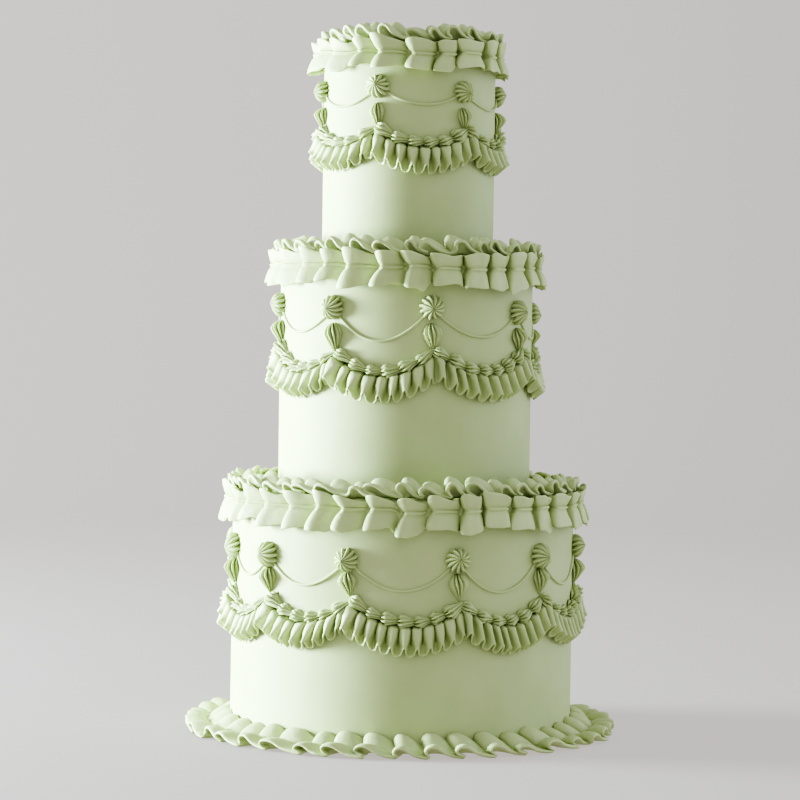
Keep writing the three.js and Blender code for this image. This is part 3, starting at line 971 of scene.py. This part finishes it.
def pale_paper():
    """Paper that glows a little more at the left."""
    material = bpy.data.materials.new("pale_paper")
    material.use_nodes = True
    tree = material.node_tree
    shader = tree.nodes["Principled BSDF"]
    shader.inputs["Base Color"].default_value = PAPER_COLOUR
    shader.inputs["Roughness"].default_value = PAPER_ROUGHNESS
    shader.inputs["Emission Color"].default_value = PAPER_GLOW
    where = tree.nodes.new("ShaderNodeTexCoord")
    apart = tree.nodes.new("ShaderNodeSeparateXYZ")
    grade = add_node(tree, "ShaderNodeMapRange", PAPER_GRADE)
    tree.links.new(where.outputs["Object"], apart.inputs["Vector"])
    tree.links.new(apart.outputs["X"], grade.inputs["Value"])
    tree.links.new(grade.outputs["Result"], shader.inputs["Emission Strength"])
    return material


def sweep():
    """Floor that curves up into a backdrop behind the cake."""
    bend = np.linspace(0, math.pi / 2, SWEEP_BEND_STEPS)
    back = SWEEP_BEND_FROM + SWEEP_BEND
    depth = np.concatenate([[SWEEP_FRONT], SWEEP_BEND_FROM + SWEEP_BEND * np.sin(bend), [back]])
    height = np.concatenate([[0.0], SWEEP_BEND - SWEEP_BEND * np.cos(bend), [SWEEP_HEIGHT]])
    vertices = [(x, y, z) for x in (-SWEEP_HALF, SWEEP_HALF) for y, z in zip(depth, height)]
    count = len(depth)
    faces = [(i, i + 1, count + i + 1, count + i) for i in range(count - 1)]
    mesh = bpy.data.meshes.new("sweep")
    mesh.from_pydata(vertices, [], faces)
    mesh.shade_smooth()
    mesh.materials.append(pale_paper())
    made = bpy.data.objects.new("sweep", mesh)
    bpy.context.collection.objects.link(made)


def soft_light(name, azimuth, elevation, distance, size, power, colour):
    """A square lamp aimed at the middle of the cake from a direction in degrees, with sizes in metres."""
    lamp = bpy.data.lights.new(name, "AREA")
    lamp.size = size
    lamp.energy = power
    lamp.color = colour
    made = bpy.data.objects.new(name, lamp)
    a, e = math.radians(azimuth), math.radians(elevation)
    toward = Vector((math.sin(a) * math.cos(e), -math.cos(a) * math.cos(e), math.sin(e)))
    made.location = Vector((0, 0, LAMP_AIM)) + distance * toward
    made.rotation_euler = toward.to_track_quat("Z", "Y").to_euler()
    bpy.context.collection.objects.link(made)


def set_camera():
    """The photograph's camera."""
    lens = bpy.data.cameras.new("camera")
    lens.lens = CAMERA_LENS
    lens.sensor_width = SENSOR
    made = bpy.data.objects.new("camera", lens)
    place = Matrix.Translation((CAMERA_ASIDE * MM, -CAMERA_DISTANCE * MM, CAMERA_HEIGHT * MM))
    tilt = Matrix.Rotation(math.radians(90 - CAMERA_PITCH), 4, "X")
    roll = Matrix.Rotation(math.radians(CAMERA_ROLL), 4, "Z")
    made.matrix_world = place @ tilt @ roll
    bpy.context.collection.objects.link(made)
    bpy.context.scene.camera = made


def set_world():
    """An even sky that fills in the shadows."""
    world = bpy.data.worlds.new("world")
    world.use_nodes = True
    sky = world.node_tree.nodes["Background"]
    sky.inputs["Color"].default_value = SKY_COLOUR
    sky.inputs["Strength"].default_value = SKY_STRENGTH
    bpy.context.scene.world = world


sweep()
set_world()
soft_light("window", azimuth=-96, elevation=0, distance=1.5, size=0.58, power=200, colour=(0.73, 0.91, 0.93))
soft_light("far_side", azimuth=103, elevation=-2, distance=1.7, size=1.7, power=25, colour=(0.59, 0.71, 0.86))
set_camera()
bpy.context.scene.view_settings.view_transform = "AgX"
bpy.context.scene.view_settings.look = "AgX - High Contrast"
